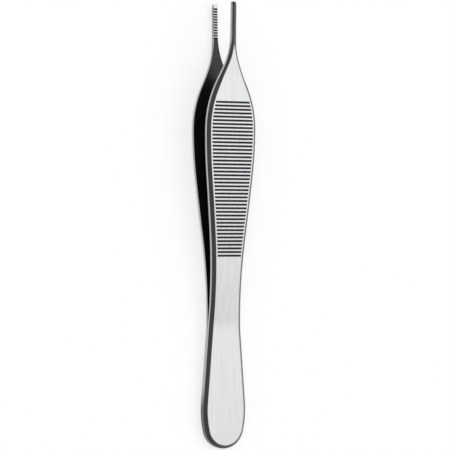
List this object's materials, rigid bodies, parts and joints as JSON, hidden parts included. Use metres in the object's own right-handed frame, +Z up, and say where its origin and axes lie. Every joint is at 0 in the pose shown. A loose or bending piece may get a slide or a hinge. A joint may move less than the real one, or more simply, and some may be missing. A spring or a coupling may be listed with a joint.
{
  "type": "thumb forceps",
  "caption": "Slender-tipped dressing forceps: two bevelled spring-steel arms joined at the heel, with broad cross-grooved grips and finely serrated open tips.",
  "frame": {"origin": "centre of the bounding box's underside, where the forceps lie on a table", "axes": "+X along the forceps from heel to tips, +Y across the arms' width, +Z up, from the lower arm to the upper"},
  "size_m": [0.1202, 0.0148, 0.013],
  "materials": {
    "steel": "satin-brushed stainless steel, brighter on the bevels"
  },
  "bodies": {
    "root": {"upper_arm": "steel", "lower_arm": "steel"}
  },
  "joints": []
}
